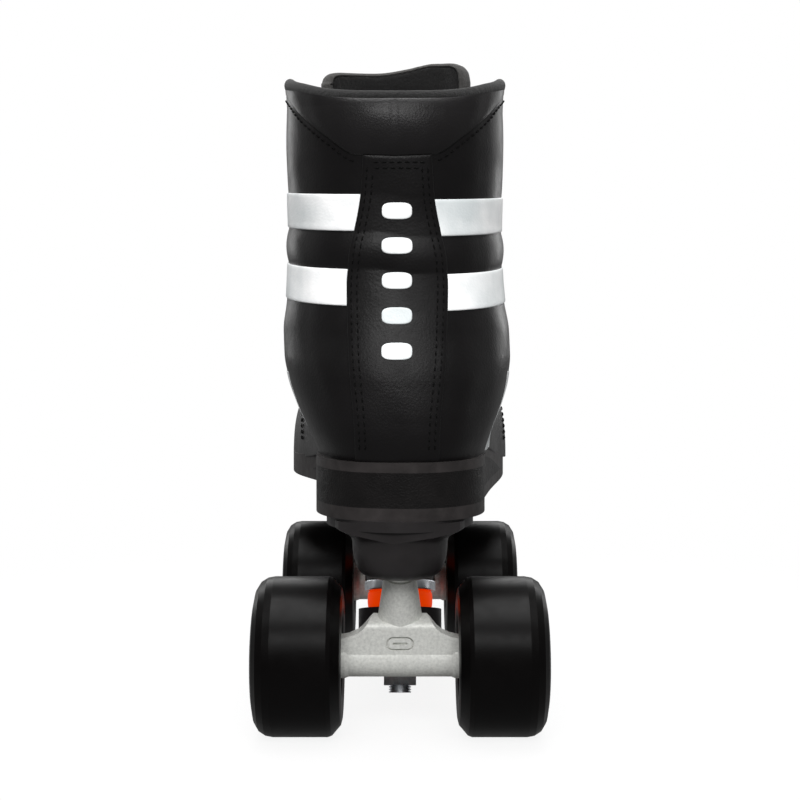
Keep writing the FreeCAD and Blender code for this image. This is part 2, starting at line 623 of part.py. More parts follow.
def back_region(corners, y_from=-160, y_to=-60):
    wire = Part.makePolygon([Vector(x, y_from, z) for x, z in corners + corners[:1]])
    return Part.Face(wire).extrude(Vector(0, y_to - y_from, 0))


def sole_line():
    return [(y, sole_top(y)) for y in (-150, -120, -75, -57, -38, -20, -2, 16, 35, 80, 100, 125, 150)]


def collar_line(lift=0):
    back, side = size("collar_back") + lift, size("collar_side") + lift
    return [(-160, back - 3), (-132, back), (-112, back + 6), (-86, side - 0.5), (-60, side), (-20, side - 1), (20, side - 1)]


def sole_prism(low, height):
    """Upright prism on the sole's outline."""
    curve = Part.BSplineCurve()
    curve.interpolate(Points=[Vector(x, y, low) for x, y in SOLE_OUTLINE], PeriodicFlag=True)
    return Part.Face(Part.Wire([curve.toShape()])).extrude(Vector(0, 0, height))


def build_sole():
    prism = sole_prism(80, 50)
    bottom = [(-150, size("plate_top")), (150, size("plate_top"))]
    out_top = [(-150, size("outsole_top")), (150, size("outsole_top"))]
    outsole = prism.common(side_region(out_top, bottom))
    for x, y in bolt_spots():
        outsole = outsole.cut(Part.makeCylinder(size("bolt_radius") + 0.02, 3.02, Vector(x, y, size("plate_top"))))
    feature("outsole", outsole)
    base = size("outsole_top")
    wedge_line = [(-150, size("wedge_top")), (-85, size("wedge_top")), (-50, 103.6), (-20, 98.2), (2, base)]
    wedge = prism.common(side_region(wedge_line, [(-150, base), (2, base)]))
    feature("heel_wedge", wedge)
    middle = prism.common(side_region(sole_line(), [(-150, size("outsole_top")), (150, size("outsole_top"))]))
    feature("midsole", middle.cut(wedge))


def surface_spot(x_from_centre, z, side):
    """Point and outward normal on the leather, at a sideways distance from the throat's middle."""
    centre = smooth_curve(RIDGE, front_edge(z, 0))
    low, high = math.pi / 2, math.pi
    for _ in range(40):
        middle = (low + high) / 2
        angle = middle if side > 0 else 2 * math.pi - middle
        wide = side * (boot_point(angle, z, 0).x - centre) > x_from_centre
        low, high = (middle, high) if wide else (low, middle)
    angle = low if side > 0 else 2 * math.pi - low
    point = boot_point(angle, z, 0)
    along = boot_point(angle + 0.02, z, 0) - boot_point(angle - 0.02, z, 0)
    up = boot_point(angle, z + 1, 0) - boot_point(angle, z - 1, 0)
    normal = along.cross(up)
    normal.normalize()
    if normal.x * side < 0:
        normal = normal * -1
    return point, normal


EYELET_LEVELS = (171, 180, 190, 202, 216, 231, 246)


def eyelet_spots():
    return [surface_spot(21.5, level, side) for level in EYELET_LEVELS for side in (1, -1)]


def eyelet_bores():
    """Seats of the eyelets in the leather, deep enough to clear the laces over them too."""
    radius = size("eyelet_radius") + 0.02
    return [Part.makeCylinder(radius, 1.84, point - normal * 0.92, normal) for point, normal in eyelet_spots()]


def build_fastening():
    """Eyelets down both facings, and the flat lace's visible runs across the tongue."""
    strap = last_solid(-1.0 - size("lace_thick")).cut(last_solid(-1.0)).common(throat_region(24.0))
    strap = strap.cut(Part.makeCompound(eyelet_bores()))
    eyelets, runs = [], []
    for point, normal in eyelet_spots():
        ring = Part.makeCylinder(size("eyelet_radius"), 1.8, point - normal * 0.9, normal)
        eyelets.append(ring.cut(Part.makeCylinder(size("eyelet_bore"), 6.0, point - normal * 3, normal)))
    for level in EYELET_LEVELS:
        ahead = front_edge(level - 2, 0) - front_edge(level + 2, 0)
        half = size("lace_width") / 2 * 4 / math.hypot(4, ahead)
        runs += strap.common(Part.makeBox(180, 300, 2 * half, Vector(-90, -120, level - half))).Solids
    feature("eyelets", Part.makeCompound(eyelets))
    feature("laces", Part.makeCompound(runs))


def polygon_side(corners, x_from=-90, x_to=90):
    wire = Part.makePolygon([Vector(x_from, y, z) for y, z in corners + corners[:1]])
    return Part.Face(wire).extrude(Vector(x_to - x_from, 0, 0))


def throat_region(half):
    """Straight-sided strip down the instep, seen from above."""
    centre = smooth_curve(RIDGE, 0)
    return plan_region([(centre - half, -76), (centre + half, -76), (centre + half, 8),
                        (centre + half * 0.78, 44), (centre - half * 0.78, 44), (centre - half, 8)])


SEAM = [(0, 226.4), (14.6, 227.2), (26.3, 235), (37, 243.7), (44, 252), (48, 259), (60, 268)]


def tongue_reach():
    """Side view of the tongue: a strip along the instep, open toward the front."""
    top = size("tongue_top") + 4
    return polygon_side([(-76, top), (-66, 250), (-61, 222), (-52, 202), (-37, 182), (-12, 160), (8, 146), (32, 134),
                         (60, 126), (60, top)])


def tongue_crest():
    """Back view of the tongue's top edge: rounded corners, a little higher on the outer side."""
    top = size("tongue_top")
    return back_region([(-60, 60), (-60, top - 14), (-33, top - 9), (-27, top - 4), (-16, top - 2), (14, top + 1.5),
                        (24, top + 1), (29.5, top - 3), (60, top - 12), (60, 60)], y_to=90)


def seam_region():
    """Everything over the collar panel's lower seam, which rises from the heel to both sides."""
    centre = smooth_curve(ANKLE_CENTRE, 230)
    right = [(centre + x, z) for x, z in SEAM] + [(centre + 60, 330)]
    return back_region([(centre - 60, 330)] + [(2 * centre - x, z) for x, z in reversed(right[1:-1])] + right, y_to=-78)


def ankle_bands():
    """Two level bands round the ankle on each side, rising slightly toward the front."""
    bands = []
    for low, high in ((167.7, 183.1), (196.9, 211.2)):
        bands.append(polygon_side([(-150, low - 2), (-150, high - 2), (0, high + 13), (0, low + 13)]))
    return bands


def quarter_bands():
    """Two parallel slanting bands on the lower quarters."""
    bands = []
    for start in (-105, -91):
        bands.append(polygon_side([(start, 152), (start + 9, 152), (start + 28, 106), (start + 19, 106)]))
    return bands


BACKSTAY = [(-13, 226), (-14, 212), (-17.5, 192), (-19.2, 177), (-18.2, 150), (-16, 122), (-15.4, 100),
            (13.4, 100), (14.2, 122), (16.4, 150), (17.4, 177), (15.6, 192), (12.4, 212), (11.4, 226)]


def build_boot():
    skin, under = last_solid(0), last_solid(size("leather"))
    foot, over = last_solid(size("lining_depth")), last_solid(-size("overlay"))
    above_sole = side_region([(-150, 330), (150, 330)], sole_line())
    below_collar = side_region(collar_line(), [(-160, 80), (20, 80)])
    below_collar = below_collar.fuse(Part.makeBox(180, 200, 240, Vector(-90, 20, 60)))
    vamp_side = polygon_side([(42, 330), (42, 160), (12, 88), (160, 88), (160, 330)])
    seam, throat = seam_region(), throat_region(size("throat_half"))
    leather = skin.cut(under).common(above_sole)
    feature("vamp", leather.common(vamp_side).cut(throat))
    quarters = leather.common(below_collar).cut(vamp_side).cut(throat).cut(seam)
    quarters = quarters.cut(Part.makeCompound(eyelet_bores()))
    middle = smooth_curve(RIDGE, -40)
    feature("quarter_lateral", quarters.common(Part.makeBox(90, 400, 300, Vector(middle, -200, 60))))
    feature("quarter_medial", quarters.common(Part.makeBox(90, 400, 300, Vector(middle - 90, -200, 60))))
    feature("collar_pad", over.cut(under).common(seam).common(below_collar))
    edge = side_region(collar_line(3.0), collar_line())
    wrap = last_solid(-size("overlay + trim")).cut(foot)
    feature("collar_binding", wrap.common(edge).cut(throat_region(size("tongue_half + 1"))))
    tongue_zone = throat_region(size("tongue_half"))
    tongue = last_solid(size("leather + 0.1")).cut(last_solid(size("tongue_depth"))).common(tongue_zone)
    feature("tongue", tongue.common(tongue_reach()).common(tongue_crest()))
    lining = under.cut(foot).common(above_sole).common(below_collar)
    feature("lining", lining.cut(throat_region(size("tongue_half + 0.1"))))
    floor = [(y, z + size("insole_thick")) for y, z in sole_line()]
    feature("insole", foot.common(side_region(floor, sole_line())))
    stay = back_region(BACKSTAY)
    feature("backstay", over.cut(skin).common(stay).common(above_sole).cut(seam))
    trim = last_solid(-size("trim")).cut(skin).common(above_sole)
    bands = [trim.common(band).cut(stay).cut(throat_region(30)) for band in ankle_bands()]
    bands += [trim.common(band).cut(stay) for band in quarter_bands()]
    feature("stripes", Part.makeCompound([solid for band in bands for solid in band.Solids]))
    raised = last_solid(-size("overlay + trim")).cut(over)
    marks = []
    for number in range(5):
        z = 149.0 + 13.4 * number
        dot = Part.makeBox(9.0, 80, 6.0, Vector(-6.0, -165, z))
        marks += raised.common(dot).Solids
    feature("backstay_marks", Part.makeCompound(marks))


def check_and_write():
    doc.recompute()
    for obj in doc.Objects:
        if "Invalid" in obj.State or "Error" in obj.State:
            raise RuntimeError("%s failed to compute: %s" % (obj.Label, obj.State))
    os.makedirs("parts", exist_ok=True)
    for obj in NODES:
        shape = obj.Shape
        if shape.isNull() or not shape.isValid() or not shape.Solids:
            raise RuntimeError("%s has no valid solid" % obj.Label)
        shape.exportStep("parts/%s.step" % obj.Label)
        print("%-24s solids %2d  volume %9.0f" % (obj.Label, len(shape.Solids), shape.Volume))


for wheel_end, wheel_y in (("rear", size("rear_axle")), ("front", size("front_axle"))):
    build_axle(wheel_end, wheel_y)
    for wheel_side, letter in ((1, "right"), (-1, "left")):
        build_wheel("%s_%s" % (wheel_end, letter), wheel_side, wheel_y)
build_trucks()
build_plate()
build_bolts()
build_toe_stop()
build_sole()
build_boot()
build_fastening()
check_and_write()
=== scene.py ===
import bpy, math, json
import numpy as np
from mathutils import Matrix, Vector


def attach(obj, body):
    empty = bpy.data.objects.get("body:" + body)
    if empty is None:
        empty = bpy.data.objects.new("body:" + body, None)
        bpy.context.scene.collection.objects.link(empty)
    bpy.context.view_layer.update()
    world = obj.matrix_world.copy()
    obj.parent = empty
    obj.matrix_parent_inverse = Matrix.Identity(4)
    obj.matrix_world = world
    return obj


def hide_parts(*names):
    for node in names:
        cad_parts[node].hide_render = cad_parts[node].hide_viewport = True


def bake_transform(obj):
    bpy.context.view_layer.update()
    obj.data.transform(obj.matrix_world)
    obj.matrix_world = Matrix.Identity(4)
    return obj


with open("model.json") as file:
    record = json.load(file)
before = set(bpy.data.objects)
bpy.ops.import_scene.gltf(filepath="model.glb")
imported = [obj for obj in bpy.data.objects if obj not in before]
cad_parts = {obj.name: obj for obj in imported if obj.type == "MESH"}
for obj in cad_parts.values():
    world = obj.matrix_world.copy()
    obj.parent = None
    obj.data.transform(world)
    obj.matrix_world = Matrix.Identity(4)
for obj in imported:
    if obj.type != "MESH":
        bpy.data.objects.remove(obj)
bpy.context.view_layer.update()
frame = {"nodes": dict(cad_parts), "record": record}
nodes = frame["nodes"]
ROOT = "boot_and_plate"
MM = 0.001


# ------------------------------------------------------------------ materials
class Mat:
    """Small builder for node materials; coordinates are the object's own, in metres."""

    def __init__(self, name, colour, rough, metallic=0.0):
        self.m = bpy.data.materials.new(name)
        self.m.use_nodes = True
        self.t = self.m.node_tree
        self.b = self.t.nodes["Principled BSDF"]
        self.b.inputs["Roughness"].default_value = rough
        self.b.inputs["Metallic"].default_value = metallic
        self.b.inputs["Base Color"].default_value = (*colour, 1)
        self.co = self.t.nodes.new("ShaderNodeTexCoord").outputs["Object"]
        self.normal = None

    def node(self, kind, **values):
        n = self.t.nodes.new("ShaderNode" + kind)
        for key, value in values.items():
            if key in n.inputs:
                n.inputs[key].default_value = value
            else:
                setattr(n, key, value)
        return n

    def noise(self, scale, detail):
        n = self.node("TexNoise", Scale=scale, Detail=detail, Roughness=0.55)
        self.t.links.new(self.co, n.inputs["Vector"])
        return n.outputs["Fac"]

    def cells(self, scale):
        n = self.node("TexVoronoi", Scale=scale)
        self.t.links.new(self.co, n.inputs["Vector"])
        return n.outputs["Distance"]

    def waves(self, scale, direction):
        n = self.node("TexWave", Scale=scale, Distortion=0.0, bands_direction=direction)
        self.t.links.new(self.co, n.inputs["Vector"])
        return n.outputs["Fac"]

    def ramp(self, fac, low, high, a=0.0, b=1.0):
        n = self.node("MapRange")
        n.inputs["From Min"].default_value, n.inputs["From Max"].default_value = low, high
        n.inputs["To Min"].default_value, n.inputs["To Max"].default_value = a, b
        self.t.links.new(fac, n.inputs["Value"])
        return n.outputs["Result"]

    def math(self, op, a, b):
        n = self.node("Math", operation=op)
        for socket, value in zip(n.inputs, (a, b)):
            if isinstance(value, (int, float)):
                socket.default_value = value
            else:
                self.t.links.new(value, socket)
        return n.outputs["Value"]

    def tint(self, fac, low, high):
        """Colour that runs between two colours with a factor."""
        n = self.node("Mix", data_type="RGBA")
        self.t.links.new(fac, n.inputs["Factor"])
        n.inputs["A"].default_value, n.inputs["B"].default_value = (*low, 1), (*high, 1)
        self.t.links.new(n.outputs["Result"], self.b.inputs["Base Color"])

    def rough(self, fac):
        self.t.links.new(fac, self.b.inputs["Roughness"])

    def bump(self, height, strength, depth):
        n = self.node("Bump")
        n.inputs["Strength"].default_value = strength
        n.inputs["Distance"].default_value = depth
        self.t.links.new(height, n.inputs["Height"])
        if self.normal:
            self.t.links.new(self.normal, n.inputs["Normal"])
        self.normal = n.outputs["Normal"]
        self.t.links.new(self.normal, self.b.inputs["Normal"])

    def set(self, **values):
        for key, value in values.items():
            self.b.inputs[key.replace("_", " ")].default_value = value
        return self

    def fade(self, near, far, most):
        """Turn see-through with distance from the middle, starting from a part-opaque centre."""
        away = self.node("VectorMath", operation="LENGTH")
        self.t.links.new(self.co, away.inputs[0])
        clear = self.ramp(away.outputs["Value"], near, far, 1.0 - most, 1.0)
        mix, glass = self.node("MixShader"), self.node("BsdfTransparent")
        self.t.links.new(clear, mix.inputs["Fac"])
        self.t.links.new(self.b.outputs["BSDF"], mix.inputs[1])
        self.t.links.new(glass.outputs["BSDF"], mix.inputs[2])
        self.t.links.new(mix.outputs["Shader"], self.t.nodes["Material Output"].inputs["Surface"])


def shade(colour, factor):
    return tuple(min(1.0, c * factor) for c in colour)


def leather(name, colour, grain, rough):
    m = Mat(name, colour, rough)
    fine = m.cells(grain * 2.4)
    pores = m.noise(grain * 4, 3)
    big = m.noise(28, 4)
    m.tint(m.ramp(big, 0.35, 0.65), shade(colour, 0.8), shade(colour, 1.25))
    m.rough(m.ramp(m.noise(60, 5), 0.3, 0.7, rough - 0.06, rough + 0.1))
    m.bump(m.math("ADD", fine, m.math("MULTIPLY", pores, 0.6)), 0.35, 0.00012)
    m.bump(m.noise(45, 3), 0.25, 0.0012)
    return m.set(Specular_IOR_Level=0.3).m


def fabric(name, colour, pitch, rough=0.85, fleck=300.0):
    """Fine woven or knitted cloth: two crossed sets of ribs with flecks."""
    m = Mat(name, colour, rough)
    across = m.math("ADD", m.waves(pitch, "Z"), m.waves(pitch, "X"))
    m.tint(m.ramp(m.math("ADD", across, m.noise(fleck, 2)), 0.6, 2.2), shade(colour, 0.4), shade(colour, 1.7))
    m.bump(across, 0.6, 0.0003)
    m.bump(m.noise(fleck, 3), 0.5, 0.0008)
    return m.set(Sheen_Weight=0.12, Sheen_Roughness=0.5).m


def rubber(name, colour, rough, pebble=0.0, depth=0.0003):
    m = Mat(name, colour, rough)
    m.tint(m.ramp(m.noise(120, 5), 0.35, 0.65), shade(colour, 0.75), shade(colour, 1.3))
    m.rough(m.ramp(m.noise(250, 3), 0.3, 0.7, rough - 0.08, rough + 0.08))
    if pebble:
        m.bump(m.cells(pebble), 0.9, depth)
    m.bump(m.noise(500, 3), 0.25, 0.0001)
    return m.set(Specular_IOR_Level=0.25).m


def cast(name, colour):
    m = Mat(name, colour, 0.5, 0.2)
    m.tint(m.ramp(m.noise(900, 4), 0.3, 0.7), shade(colour, 0.84), shade(colour, 1.1))
    m.rough(m.ramp(m.noise(400, 3), 0.3, 0.7, 0.42, 0.6))
    m.bump(m.noise(1400, 4), 0.5, 0.00012)
    m.bump(m.noise(140, 3), 0.2, 0.0004)
    return m.m


def metal(name, colour, rough):
    m = Mat(name, colour, rough, 1.0)
    grain = m.noise(500, 3)
    m.tint(m.ramp(grain, 0.3, 0.7), shade(colour, 0.82), shade(colour, 1.12))
    m.rough(m.ramp(m.noise(220, 4), 0.3, 0.7, rough * 0.7, rough * 1.5))
    m.bump(grain, 0.15, 0.00005)
    return m.m


def urethane(name, colour, rough, glow=0.0, painted_glow=0.0):
    m = Mat(name, colour, rough)
    m.tint(m.ramp(m.noise(70, 5), 0.35, 0.65), shade(colour, 0.85), shade(colour, 1.15))
    m.rough(m.ramp(m.noise(180, 6), 0.35, 0.75, rough * 0.9, rough * 1.2))
    m.bump(m.noise(700, 2), 0.08, 0.00006)
    m.set(Subsurface_Weight=glow, Specular_IOR_Level=0.11)
    # painted glow: emission in the urethane's own colour makes the part shine though it is no lamp
    m.set(Emission_Color=(*colour, 1), Emission_Strength=painted_glow)
    if glow:
        m.b.inputs["Subsurface Radius"].default_value = (0.006, 0.002, 0.001)
        m.b.inputs["Subsurface Scale"].default_value = 0.5
    return m.m


def plastic(name, colour, rough):
    m = Mat(name, colour, rough)
    m.tint(m.ramp(m.noise(60, 4), 0.35, 0.65), shade(colour, 0.85), shade(colour, 1.2))
    m.rough(m.ramp(m.noise(300, 4), 0.3, 0.7, rough - 0.07, rough + 0.1))
    m.bump(m.noise(1200, 3), 0.4, 0.00008)
    return m.set(Specular_IOR_Level=0.3).m


MATERIALS = {
    "smooth_leather": leather("smooth_leather", (0.0028, 0.0024, 0.0026), 420.0, 0.38),
    "collar_fabric": leather("collar_leather", (0.007, 0.0064, 0.0067), 520.0, 0.34),
    "binding_tape": fabric("binding_tape", (0.0055, 0.0052, 0.0052), 900.0, 0.85, 800.0),
    "lining_fabric": fabric("lining_fabric", (0.05, 0.048, 0.046), 700.0, 0.85, 800.0),
    "white_leather": leather("white_leather", (0.8, 0.85, 0.86), 420.0, 0.5),
    "eyelet_metal": metal("eyelet_metal", (0.05, 0.05, 0.052), 0.35),
    "lace_webbing": fabric("lace_webbing", (0.018, 0.018, 0.018), 1100.0),
    "sole_rubber": rubber("sole_rubber", (0.025, 0.022, 0.0218), 0.5),
    "wedge_rubber": rubber("wedge_rubber", (0.0042, 0.0036, 0.0036), 0.55, 1500.0, 0.00016),
    "black_nylon": plastic("black_nylon", (0.017, 0.0152, 0.0156), 0.42),
    "cast_aluminium": cast("cast_aluminium", (0.72, 0.725, 0.69)),
    "zinc_steel": metal("zinc_steel", (0.78, 0.81, 0.85), 0.3),
    "bearing_steel": metal("bearing_steel", (0.58, 0.58, 0.6), 0.25),
    "seal_rubber": rubber("seal_rubber", (0.02, 0.02, 0.02), 0.5),
    # painted glow: the orange cushions emit their own colour at strength 0.5, on top of the light the lamps
    # give them
    "orange_urethane": urethane("orange_urethane", (0.95, 0.055, 0.0), 0.5, 0.1, 0.5),
    "cup_rubber": rubber("cup_rubber", (0.02, 0.02, 0.02), 0.6),
    "wheel_urethane": urethane("wheel_urethane", (0.0016, 0.0013, 0.0013), 0.33),
    "hub_nylon": plastic("hub_nylon", (0.018, 0.018, 0.018), 0.35),
    "stop_rubber": rubber("stop_rubber", (0.02, 0.018, 0.018), 0.6, 700.0),
    "thread": rubber("thread", (0.0012, 0.0011, 0.0011), 0.8, 3000.0),
}


def dress(obj, slot):
    obj.data.materials.clear()
    obj.data.materials.append(MATERIALS[slot])


SLOTS = {s["node"]: s["material_slot"] for s in frame["record"]["subparts"]}
for node_name, cad in nodes.items():
    dress(cad, SLOTS[node_name])


# ------------------------------------------------------------------ boot surface
# All lengths below are in mm: x to the right seen from behind, y to the toe, z up from the floor.
def smooth_curve(points, value):
    """Monotone cubic through control pairs, for arrays."""
    xs, ys = (np.array(v, float) for v in zip(*points))
    rise = np.diff(ys) / np.diff(xs)
    a, b = rise[:-1], rise[1:]
    with np.errstate(divide="ignore", invalid="ignore"):
        middle = np.where(a * b <= 0, 0, 2 * a * b / (a + b))
    slope = np.concatenate([rise[:1], middle, rise[-1:]])
    v = np.clip(np.asarray(value, float), xs[0], xs[-1])
    i = np.clip(np.searchsorted(xs, v, side="right") - 1, 0, len(xs) - 2)
    h = xs[i + 1] - xs[i]
    s = (v - xs[i]) / h
    return ((1 + 2 * s) * (1 - s) ** 2 * ys[i] + s * (1 - s) ** 2 * h * slope[i]
            + s * s * (3 - 2 * s) * ys[i + 1] - s * s * (1 - s) * h * slope[i + 1])


HEEL = [(90, -139), (108, -141.5), (122, -143.5), (140, -141.5), (160, -136), (185, -131), (210, -129.5),
        (235, -130.5), (285, -133)]
INSTEP = [(-48, 300), (-40, 250), (-35, 222), (-26, 202), (-12, 186), (8, 172), (32, 160), (58, 150),
          (84, 142), (106, 136), (124, 129), (135, 121), (141, 111), (143, 102), (143.1, 80)]
ANKLE_HALF = [(90, 30), (108, 33.2), (120, 37.6), (130, 41.8), (140, 44.8), (150, 46.1), (160, 46.0),
              (171, 44.8), (191, 43.9), (236, 44.0), (285, 46.0)]
HEEL_REACH = [(90, 66), (130, 66), (150, 58), (168, 52), (290, 52)]
HEEL_POWER = [(90, 3.0), (115, 2.8), (140, 2.45), (165, 2.3), (290, 2.3)]
LATERAL = [(-110, 0), (-84, 33), (-60, 38), (-35, 41.5), (-10, 45), (40, 52.5), (80, 51.5), (143, 50)]
MEDIAL = [(-110, 0), (-84, 30), (-60, 32), (-38, 32.5), (-10, 39), (30, 50), (62, 54.5), (100, 54), (143, 54)]
RIDGE = [(-40, -2.1), (20, -3), (80, -8), (143, -10)]
ANKLE_CENTRE = [(105, 0.8), (190, -2.1), (290, -2.1)]
CENTRE = -2.1
TOE_Y = 143.1
TOE_ROUND_Y = 72.0
SHELL_LOW = 94.0
BLEND_WIDTH = 7.0
COLLAR_TOP = [(-160, 245.8), (-132, 248.8), (-112, 254.8), (-86, 260), (-60, 260.5), (-20, 259.5)]
COLLAR_SEAM_BACK = [(0, 226.4), (14.6, 227.2), (26.3, 235), (37, 245), (43, 253.5), (46.2, 259), (60, 272)]
COLLAR_SEAM_SIDE = [(-104, 226), (-96, 243), (-88, 256.5), (-80, 262), (-70, 266)]
BANDS = ((169.3, 183.2), (197.8, 212.0))


def ease(share):
    return share * share * (3 - 2 * share)


def roof(y, depth):
    """Height of the boot's top line at y."""
    return smooth_curve(INSTEP, y + 0.85 * depth) - 0.85 * depth


def front_edge(z, depth):
    """Foremost y at height z, by halving the range."""
    low, high = np.full(np.shape(z), -60.0), np.full(np.shape(z), TOE_Y)
    for _ in range(26):
        middle = (low + high) / 2
        up = roof(middle, depth) > z
        low, high = np.where(up, middle, low), np.where(up, high, middle)
    return low


def boot(u, z, depth=0.0):
    """Points (mm) on the boot at angle u (heel 0, outer side, toe pi, inner side), height z and depth."""
    u, z, depth = np.broadcast_arrays(np.asarray(u, float), z, depth)
    back, front = smooth_curve(HEEL, z) + depth, front_edge(z, depth)
    y = (back + front) / 2 - (front - back) / 2 * np.cos(u)
    side = np.where(np.mod(u, 2 * math.pi) <= math.pi, 1.0, -1.0)
    reach = np.minimum((front - back) / 2, smooth_curve(HEEL_REACH, z) - depth)
    off, power = np.clip(np.abs((y - back - reach) / reach), 0, 1), smooth_curve(HEEL_POWER, z)
    ankle = (smooth_curve(ANKLE_HALF, z) - depth) * (1 - off ** power) ** (1 / power)
    tip = np.clip((y - TOE_ROUND_Y) / (TOE_Y - depth - TOE_ROUND_Y), 0, 1)
    wide = np.where(side > 0, smooth_curve(LATERAL, y), smooth_curve(MEDIAL, y)) - depth
    plan = wide * (1 - tip ** 2.5) ** (1 / 2.1)
    rise = np.clip((z - SHELL_LOW) / (roof(y, depth) - SHELL_LOW), 0, 1)
    ridge = smooth_curve(RIDGE, y)
    fore = (plan - side * ridge) * (1 - rise ** 2.6) ** (1 / 2.1)
    hold = np.where(y > back + reach, np.clip(ankle / 10.0, 0, 1), 1.0)
    centre = hold * smooth_curve(ANKLE_CENTRE, z) + (1 - hold) * ridge
    a, b = side * centre + ankle, side * ridge + fore
    share = hold * np.clip(BLEND_WIDTH - np.abs(a - b), 0, None) / BLEND_WIDTH
    both = np.maximum(a, b) + share * share * BLEND_WIDTH / 4
    heel = (fore <= 0.01) | (y < -109)
    x = side * np.where(heel, a, both)
    return np.stack([x, y, z + 0 * x], -1)


def sole_top(y):
    """Sole's top: level at the heel, eased down to the ball, turned up at the toe."""
    share = ease(np.clip((y + 75) / 110.0, 0, 1))
    return 110.4 - 12.4 * share + np.where(y > 80, 5 * ((y - 80) / 65.0) ** 2, 0)


def collar_top(y):
    return smooth_curve(COLLAR_TOP, y)


def seam_at(p):
    """Height of the collar panel's lower seam, which rises from the heel to both sides."""
    back = smooth_curve(COLLAR_SEAM_BACK, np.abs(p[..., 0] - CENTRE))
    side = smooth_curve(COLLAR_SEAM_SIDE, p[..., 1])
    return np.maximum(back, side)


class AngleTable:
    """Angle u on the boot where it has a given sideways offset x, near the heel or the front."""

    def __init__(self, middle):
        self.z, self.x = np.arange(88.0, 292.0, 2.0), np.arange(-54.0, 54.0, 0.5)
        u = np.linspace(middle - 1.75, middle + 1.75, 700)
        rows = []
        for z in self.z:
            xs = boot(u, z)[:, 0]
            order = np.argsort(xs)
            rows.append(np.interp(self.x, xs[order], u[order]))
        self.u = np.array(rows)

    def __call__(self, z, x):
        z, x = np.broadcast_arrays(np.asarray(z, float), np.asarray(x, float))
        a = np.clip((z - self.z[0]) / 2.0, 0, len(self.z) - 1.001)
        b = np.clip((x - self.x[0]) / 0.5, 0, len(self.x) - 1.001)
        i, j = a.astype(int), b.astype(int)
        p, q = a - i, b - j
        return ((self.u[i, j] * (1 - q) + self.u[i, j + 1] * q) * (1 - p)
                + (self.u[i + 1, j] * (1 - q) + self.u[i + 1, j + 1] * q) * p)


heel_angle, front_angle = AngleTable(0.0), AngleTable(math.pi)


def angle_for_y(z, y):
    """Angle on the outer side where the boot has a given y."""
    back, front = smooth_curve(HEEL, z), front_edge(z, 0)
    return np.arccos(np.clip(((back + front) / 2 - y) / ((front - back) / 2), -1, 1))


def hump(value, low, high):
    """Smooth bulge between two heights."""
    s = np.clip((value - low) / (high - low), 0, 1)
    return np.sin(math.pi * s) ** 0.8


def rise_of(p):
    """How much higher the white bands sit at a point than at the heel's inner side."""
    outer = np.clip((p[..., 0] - CENTRE) / 16 + 0.5, 0, 1)
    return (p[..., 1] + 130) * 0.1 - 2.0 * ease(outer)


def skin_depth(p):
    """How far the padded leather stands out (negative) or is drawn in, from the point's own place."""
    x, y, z = p[..., 0], p[..., 1], p[..., 2]
    level = z - rise_of(p)
    ankle = np.clip((18 - y) / 40, 0, 1)
    bulge = 1.1 * hump(level, 183.8, 197.2) + 0.6 * hump(level, 212.6, 246) + 0.3 * hump(level, 128, 168.5)
    crease = 0.5 * np.sin(level * 0.55 + 0.06 * x + 1.2 * np.sin(y * 0.07))
    crease *= np.exp(-((level - 150) / 26) ** 2) * np.exp(-((y + 28) / 30) ** 2)
    flex = 0.45 * np.sin((y - 40) * 0.5 + 0.03 * x) * np.exp(-((y - 48) / 20) ** 2)
    ripple = 0.12 * np.sin(x * 0.21 + z * 0.13) * np.sin(y * 0.17 - z * 0.11)
    return -(bulge * ankle + crease + ripple + flex * np.clip((z - 112) / 20, 0, 1))


def skin(u, z, extra):
    """Point on the finished leather face; extra is the height above it."""
    p = boot(u, z)
    return boot(u, z, skin_depth(p) - extra)


def make(name, verts, faces, slot, body=ROOT, replaces=()):
    """One smooth object from points in mm. A piece with no body is left unattached."""
    mesh = bpy.data.meshes.new(name)
    mesh.from_pydata([tuple(v * MM) for v in verts], [], faces)
    mesh.validate()
    mesh.update()
    obj = bpy.data.objects.new(name, mesh)
    bpy.context.scene.collection.objects.link(obj)
    mesh.polygons.foreach_set("use_smooth", [True] * len(mesh.polygons))
    dress(obj, slot)
    if body:
        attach(obj, body)
    if replaces:
        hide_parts(*replaces)
    return obj


def grid_faces(rows, cols, offset=0, wrap=False):
    faces = []
    for i in range(rows - 1):
        for j in range(cols if wrap else cols - 1):
            a, b = i * cols + j, i * cols + (j + 1) % cols
            faces.append((offset + a, offset + b, offset + b + cols, offset + a + cols))
    return faces


def grids(name, surfaces, slot, body=ROOT, replaces=(), flip=False, wrap=False):
    """One object from several (rows, cols, 3) point grids."""
    verts, faces = [], []
    for p in surfaces:
        rows, cols = p.shape[:2]
        new = grid_faces(rows, cols, len(verts), wrap)
        faces += [f[::-1] for f in new] if flip else new
        verts += list(p.reshape(-1, 3))
    return make(name, verts, faces, slot, body, replaces)


def rimmed(count, rim=0.012):
    """Samples 0..1 with a tight rolled rim at both ends, and the rim's height factor (-1 = tucked under)."""
    inner = np.linspace(3 * rim, 1 - 3 * rim, count)
    s = np.concatenate([[0, 0, rim * 0.3, rim], inner, [1 - rim, 1 - rim * 0.3, 1, 1]])
    f = np.concatenate([[-1, 0.15, 0.7, 0.95], np.ones(count), [0.95, 0.7, 0.15, -1]])
    return s, f


def lift(fs, ft, height, under=1.2):
    """Height of an overlay with rolled rims on all four sides."""
    f = np.minimum(fs[None, :], ft[:, None])
    return np.where(f < 0, -under, height * f)


def settle(s, t, ends, levels, rounds=7):
    """Solve angle and height grids where the ends depend on height and the levels on the point."""
    z = np.full((len(t), len(s)), 150.0)
    for _ in range(rounds):
        a, b = ends(z)
        u = a + (b - a) * s[None, :]
        low, high = levels(boot(u, z))
        z = low + (high - low) * t[:, None]
    return u, z


